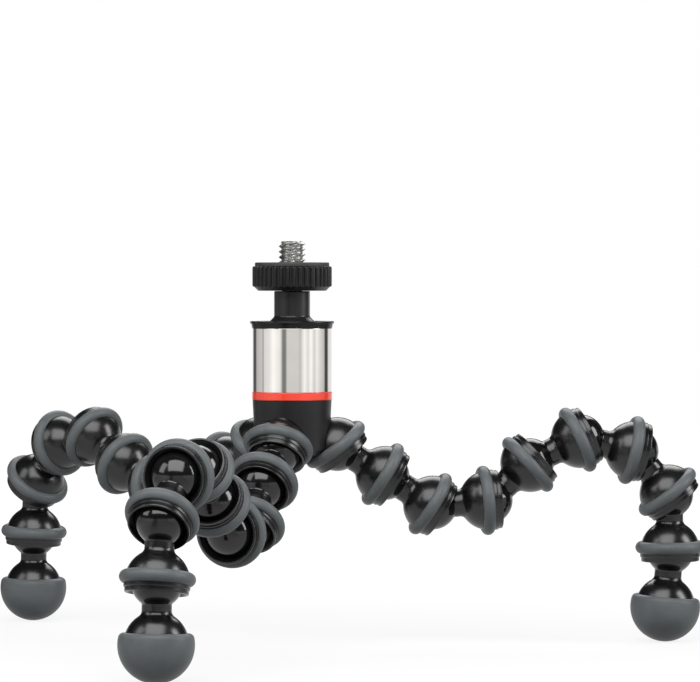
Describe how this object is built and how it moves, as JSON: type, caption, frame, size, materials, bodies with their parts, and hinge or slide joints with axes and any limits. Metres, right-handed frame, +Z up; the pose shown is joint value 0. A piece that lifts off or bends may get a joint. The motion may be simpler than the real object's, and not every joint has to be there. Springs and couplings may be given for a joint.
{
  "type": "flexible leg tripod",
  "caption": "Small flexible leg tripod: legs of ball-and-socket links with rubber grip rings on a round hub, under a ball head with a steel collar and a ribbed camera screw wheel.",
  "frame": {"origin": "middle of the camera seat, on the axis of the camera screw", "axes": "+Z up along the camera screw, +X over the socket of the first leg"},
  "size_m": [0.1566, 0.1814, 0.0957],
  "materials": {
    "link_plastic": "glossy black, moulded",
    "grip_rubber": "matte dark grey",
    "hub_plastic": "fine matte texture",
    "accent_plastic": "satin red",
    "collar_steel": "polished stainless steel",
    "stud_metal": "black anodised",
    "wheel_plastic": "satin black",
    "screw_steel": "bright zinc",
    "spring_steel": "plain",
    "seat_nylon": "natural nylon"
  },
  "bodies": {
    "hub": {"hub_body": "hub_plastic", "accent_ring": "accent_plastic", "steel_collar": "collar_steel", "retaining_ring": "link_plastic", "spring_washers": "spring_steel", "hub_socket_1": "link_plastic", "hub_socket_2": "link_plastic", "hub_socket_3": "link_plastic"},
    "ball_seat": {"ball_seat": "seat_nylon"},
    "ball_stud": {"ball_stud": "stud_metal"},
    "thumb_wheel": {"thumb_wheel": "wheel_plastic", "wheel_pad": "grip_rubber", "camera_screw": "screw_steel", "screw_clip": "spring_steel"},
    "leg_1_swivel": {"hub_ring_1": "grip_rubber"},
    "leg_1_link_1": {"leg_1_link_1": "link_plastic"},
    "leg_1_link_2": {"leg_1_link_2": "link_plastic"},
    "leg_1_link_3": {"leg_1_link_3": "link_plastic"},
    "leg_1_link_4": {"leg_1_link_4": "link_plastic"},
    "leg_1_link_5": {"leg_1_link_5": "link_plastic"},
    "leg_1_link_6": {"leg_1_link_6": "link_plastic"},
    "leg_1_link_7": {"leg_1_link_7": "link_plastic"},
    "leg_1_link_8": {"leg_1_link_8": "link_plastic"},
    "leg_1_foot": {"leg_1_foot": "link_plastic", "leg_1_foot_cap": "grip_rubber"},
    "leg_2_swivel": {"hub_ring_2": "grip_rubber"},
    "leg_2_link_1": {"leg_2_link_1": "link_plastic"},
    "leg_2_link_2": {"leg_2_link_2": "link_plastic"},
    "leg_2_link_3": {"leg_2_link_3": "link_plastic"},
    "leg_2_link_4": {"leg_2_link_4": "link_plastic"},
    "leg_2_link_5": {"leg_2_link_5": "link_plastic"},
    "leg_2_link_6": {"leg_2_link_6": "link_plastic"},
    "leg_2_link_7": {"leg_2_link_7": "link_plastic"},
    "leg_2_link_8": {"leg_2_link_8": "link_plastic"},
    "leg_2_foot": {"leg_2_foot": "link_plastic", "leg_2_foot_cap": "grip_rubber"},
    "leg_3_swivel": {"hub_ring_3": "grip_rubber"},
    "leg_3_link_1": {"leg_3_link_1": "link_plastic"},
    "leg_3_link_2": {"leg_3_link_2": "link_plastic"},
    "leg_3_link_3": {"leg_3_link_3": "link_plastic"},
    "leg_3_link_4": {"leg_3_link_4": "link_plastic"},
    "leg_3_link_5": {"leg_3_link_5": "link_plastic"},
    "leg_3_link_6": {"leg_3_link_6": "link_plastic"},
    "leg_3_link_7": {"leg_3_link_7": "link_plastic"},
    "leg_3_link_8": {"leg_3_link_8": "link_plastic"},
    "leg_3_foot": {"leg_3_foot": "link_plastic", "leg_3_foot_cap": "grip_rubber"}
  },
  "joints": [
    {"name": "head_pan", "type": "hinge", "parent": "hub", "child": "ball_seat", "pos_m": [0, 0, -0.01878], "axis": [0, 0, 1], "continuous": true},
    {"name": "head_tilt", "type": "hinge", "parent": "ball_seat", "child": "ball_stud", "pos_m": [0, 0, -0.01878], "axis": [1, 0, 0], "range_deg": [-30, 30]},
    {"name": "wheel_turn", "type": "hinge", "parent": "ball_stud", "child": "thumb_wheel", "pos_m": [0, 0, -0.0058], "axis": [0, 0, 1], "continuous": true},
    {"name": "leg_1_swing", "type": "hinge", "parent": "hub", "child": "leg_1_swivel", "pos_m": [0.01095, 0, -0.04378], "axis": [0.6018, 0, -0.7986], "range_deg": [-45, 45]},
    {"name": "leg_2_swing", "type": "hinge", "parent": "hub", "child": "leg_2_swivel", "pos_m": [-0.00548, 0.00948, -0.04378], "axis": [-0.3009, 0.5212, -0.7986], "range_deg": [-45, 45]},
    {"name": "leg_3_swing", "type": "hinge", "parent": "hub", "child": "leg_3_swivel", "pos_m": [-0.00548, -0.00948, -0.04378], "axis": [-0.3009, -0.5212, -0.7986], "range_deg": [-45, 45]},
    {"name": "leg_1_bend_1", "type": "hinge", "parent": "leg_1_swivel", "child": "leg_1_link_1", "pos_m": [0.01095, 0, -0.04378], "axis": [0.1219, 0.9925, 0], "range_deg": [-17, 61]},
    {"name": "leg_1_bend_2", "type": "hinge", "parent": "leg_1_link_1", "child": "leg_1_link_2", "pos_m": [0.02236, -0.0014, -0.05068], "axis": [-0.1219, -0.9925, 0], "range_deg": [-38, 40]},
    {"name": "leg_1_bend_3", "type": "hinge", "parent": "leg_1_link_2", "child": "leg_1_link_3", "pos_m": [0.03364, -0.00279, -0.05779], "axis": [0.1219, 0.9925, 0], "range_deg": [-2, 76]},
    {"name": "leg_1_bend_4", "type": "hinge", "parent": "leg_1_link_3", "child": "leg_1_link_4", "pos_m": [0.0469, -0.00441, -0.05662], "axis": [-0.1219, -0.9925, 0], "range_deg": [-76, 2]},
    {"name": "leg_1_bend_5", "type": "hinge", "parent": "leg_1_link_4", "child": "leg_1_link_5", "pos_m": [0.05679, -0.00563, -0.04765], "axis": [0.1219, 0.9925, 0], "range_deg": [-56, 22]},
    {"name": "leg_1_bend_6", "type": "hinge", "parent": "leg_1_link_5", "child": "leg_1_link_6", "pos_m": [0.06884, -0.00711, -0.04198], "axis": [-0.1219, -0.9925, 0], "range_deg": [-1, 77]},
    {"name": "leg_1_bend_7", "type": "hinge", "parent": "leg_1_link_6", "child": "leg_1_link_7", "pos_m": [0.08181, -0.0087, -0.045], "axis": [0.1219, 0.9925, 0], "range_deg": [-77, 1]},
    {"name": "leg_1_bend_8", "type": "hinge", "parent": "leg_1_link_7", "child": "leg_1_link_8", "pos_m": [0.09018, -0.00973, -0.05542], "axis": [-0.1219, -0.9925, 0], "range_deg": [-1, 77]},
    {"name": "leg_1_bend_9", "type": "hinge", "parent": "leg_1_link_8", "child": "leg_1_foot", "pos_m": [0.09041, -0.00976, -0.06882], "axis": [0.1219, 0.9925, 0], "range_deg": [-45, 33]},
    {"name": "leg_2_bend_1", "type": "hinge", "parent": "leg_2_swivel", "child": "leg_2_link_1", "pos_m": [-0.00548, 0.00948, -0.04378], "axis": [-0.8572, -0.515, 0], "range_deg": [-8, 70]},
    {"name": "leg_2_bend_2", "type": "hinge", "parent": "leg_2_link_1", "child": "leg_2_link_2", "pos_m": [-0.01188, 0.02014, -0.0488], "axis": [0.8572, 0.515, 0], "range_deg": [-41, 37]},
    {"name": "leg_2_bend_3", "type": "hinge", "parent": "leg_2_link_2", "child": "leg_2_link_3", "pos_m": [-0.01837, 0.03094, -0.05339], "axis": [-0.8572, -0.515, 0], "range_deg": [-26.21, 51.79]},
    {"name": "leg_2_bend_4", "type": "hinge", "parent": "leg_2_link_3", "child": "leg_2_link_4", "pos_m": [-0.02522, 0.04234, -0.05507], "axis": [0.8572, 0.515, 0], "range_deg": [-71.21, 6.79]},
    {"name": "leg_2_bend_5", "type": "hinge", "parent": "leg_2_link_4", "child": "leg_2_link_5", "pos_m": [-0.03147, 0.05275, -0.0494], "axis": [-0.8572, -0.515, 0], "range_deg": [-36, 42]},
    {"name": "leg_2_bend_6", "type": "hinge", "parent": "leg_2_link_5", "child": "leg_2_link_6", "pos_m": [-0.03757, 0.0629, -0.04311], "axis": [0.8572, 0.515, 0], "range_deg": [-1, 77]},
    {"name": "leg_2_bend_7", "type": "hinge", "parent": "leg_2_link_6", "child": "leg_2_link_7", "pos_m": [-0.04437, 0.07421, -0.04544], "axis": [-0.8572, -0.515, 0], "range_deg": [-77, 1]},
    {"name": "leg_2_bend_8", "type": "hinge", "parent": "leg_2_link_7", "child": "leg_2_link_8", "pos_m": [-0.04899, 0.0819, -0.0554], "axis": [0.8572, 0.515, 0], "range_deg": [-1, 77]},
    {"name": "leg_2_bend_9", "type": "hinge", "parent": "leg_2_link_8", "child": "leg_2_foot", "pos_m": [-0.04947, 0.08271, -0.06877], "axis": [-0.8572, -0.515, 0], "range_deg": [-42, 36]},
    {"name": "leg_3_bend_1", "type": "hinge", "parent": "leg_3_swivel", "child": "leg_3_link_1", "pos_m": [-0.00548, -0.00948, -0.04378], "axis": [0.866, -0.5, 0], "range_deg": [-20, 58]},
    {"name": "leg_3_bend_2", "type": "hinge", "parent": "leg_3_link_1", "child": "leg_3_link_2", "pos_m": [-0.01103, -0.01911, -0.05128], "axis": [-0.866, 0.5, 0], "range_deg": [-31, 47]},
    {"name": "leg_3_bend_3", "type": "hinge", "parent": "leg_3_link_2", "child": "leg_3_link_3", "pos_m": [-0.01601, -0.02774, -0.06025], "axis": [0.866, -0.5, 0], "range_deg": [-0.75, 77.25]},
    {"name": "leg_3_bend_4", "type": "hinge", "parent": "leg_3_link_3", "child": "leg_3_link_4", "pos_m": [-0.0227, -0.03932, -0.06112], "axis": [-0.866, 0.5, 0], "range_deg": [-75.75, 2.25]},
    {"name": "leg_3_bend_5", "type": "hinge", "parent": "leg_3_link_4", "child": "leg_3_link_5", "pos_m": [-0.02832, -0.04906, -0.05382], "axis": [0.866, -0.5, 0], "range_deg": [-37, 41]},
    {"name": "leg_3_bend_6", "type": "hinge", "parent": "leg_3_link_5", "child": "leg_3_link_6", "pos_m": [-0.03381, -0.05857, -0.04613], "axis": [-0.866, 0.5, 0], "range_deg": [-1, 77]},
    {"name": "leg_3_bend_7", "type": "hinge", "parent": "leg_3_link_6", "child": "leg_3_link_7", "pos_m": [-0.04051, -0.07016, -0.04683], "axis": [0.866, -0.5, 0], "range_deg": [-77, 1]},
    {"name": "leg_3_bend_8", "type": "hinge", "parent": "leg_3_link_7", "child": "leg_3_link_8", "pos_m": [-0.04557, -0.07892, -0.05563], "axis": [-0.866, 0.5, 0], "range_deg": [-1, 77]},
    {"name": "leg_3_bend_9", "type": "hinge", "parent": "leg_3_link_8", "child": "leg_3_foot", "pos_m": [-0.04685, -0.08114, -0.06879], "axis": [0.866, -0.5, 0], "range_deg": [-47, 31]}
  ]
}
